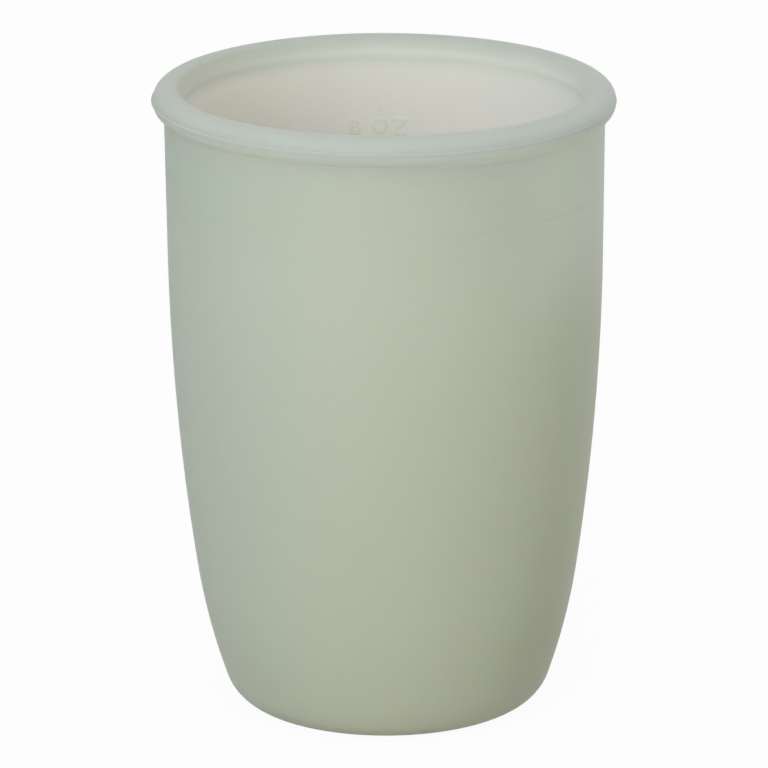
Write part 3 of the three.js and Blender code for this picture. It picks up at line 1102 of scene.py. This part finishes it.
class CUP_OT_make_skin(Operator):
    """Makes the cup as one closed skin: foot, heel, wall, rim bead, inside and floor"""

    bl_idname = "cup.make_skin"
    bl_label = "Cup"

    def execute(self, context):
        scene = context.scene
        shape = CupShape(scene.cup_sizes)
        section = skin_section(shape, scene.cup_sizes, scene.cup_marks)
        columns = skin_columns(shape, scene.cup_marks)
        points, faces = turn_section(section, columns)
        raise_parting_line(points, shape.bead, scene.cup_sizes)
        skin = smooth_mesh(SKIN_NAME, points, faces)
        paint_light_and_shade(skin, section, columns, shape)
        skin.data.materials.append(silicone_material(scene.cup_finish))
        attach(skin, "root")
        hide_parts(*MOULDING_NODES)
        return {"FINISHED"}


class CUP_OT_raise_marks(Operator):
    """Raises the volume marks out of the inside of the cup's wall, and then leans the rim"""

    bl_idname = "cup.raise_marks"
    bl_label = "Volume marks"

    def execute(self, context):
        skin = bpy.data.objects.get(SKIN_NAME)
        if skin is None:
            raise RuntimeError("Make the cup before its marks")
        marks = context.scene.cup_marks
        shape = CupShape(context.scene.cup_sizes)
        points = mesh_points(skin)
        inner, outer = marked_wall(points, shape)
        relief = np.zeros(len(points))
        relief[inner] = marks_relief(points[inner], shape, marks)
        # Painted shade on the marks, as strong as their relief
        write_attribute(skin, MARK, relief)
        # Painted shade on the outside where the fill line shows through the wall
        ghost = np.zeros(len(points))
        ghost[outer] = marks.ghost * fill_line_relief(points[outer] - (0, 0, GHOST_LIFT), shape, marks)
        write_attribute(skin, GHOST, ghost)

        inward = 1 - marks.relief * relief[inner] / np.hypot(points[inner, 0], points[inner, 1])
        points[inner, :2] *= inward[:, None]
        # The marks are placed by height, so the rim leans after them
        tilt_rim(points, shape, context.scene.cup_sizes.rim_tilt)
        skin.data.vertices.foreach_set("co", points.ravel())
        skin.data.update()
        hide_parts(*LINE_NODES, *LETTER_NODES)
        return {"FINISHED"}


class CUP_OT_set_stage(Operator):
    """Sets the pale floor, the soft light and the camera"""

    bl_idname = "cup.set_stage"
    bl_label = "Stage"

    def execute(self, context):
        stage = context.scene.cup_stage
        add_floor(stage)
        light_room(stage)
        add_lamp("key_lamp", KEY_LAMP, stage.key_power, stage)
        add_lamp("back_lamp", BACK_LAMP, stage.back_power, stage)
        add_camera(stage)
        context.scene.view_settings.view_transform = "Standard"
        return {"FINISHED"}


class CUP_PT_sidebar(Panel):
    """The cup's operators and the sizes and colours that they use"""

    bl_idname = "CUP_PT_sidebar"
    bl_label = "Silicone cup"
    bl_space_type = "VIEW_3D"
    bl_region_type = "UI"
    bl_category = "Cup"

    def draw(self, context):
        layout = self.layout
        for operator, settings in (
            (CUP_OT_make_skin, ("cup_sizes", "cup_finish")),
            (CUP_OT_raise_marks, ("cup_marks",)),
            (CUP_OT_set_stage, ("cup_stage",)),
        ):
            box = layout.box()
            box.operator(operator.bl_idname)
            for name in settings:
                group = getattr(context.scene, name)
                for key in group.bl_rna.properties.keys():
                    if key not in PropertyGroup.bl_rna.properties.keys():
                        box.prop(group, key)


SETTINGS = {
    "cup_sizes": CupSizes,
    "cup_marks": MarkSizes,
    "cup_finish": SiliconeFinish,
    "cup_stage": StageSettings,
}
CLASSES = (*SETTINGS.values(), CUP_OT_make_skin, CUP_OT_raise_marks, CUP_OT_set_stage, CUP_PT_sidebar)


def register():
    for cls in CLASSES:
        bpy.utils.register_class(cls)
    for name, group in SETTINGS.items():
        setattr(bpy.types.Scene, name, PointerProperty(type=group))


def unregister():
    for name in SETTINGS:
        delattr(bpy.types.Scene, name)
    for cls in reversed(CLASSES):
        bpy.utils.unregister_class(cls)


def main():
    register()
    bpy.ops.cup.make_skin()
    bpy.ops.cup.raise_marks()
    bpy.ops.cup.set_stage()


if __name__ == "__main__":
    main()
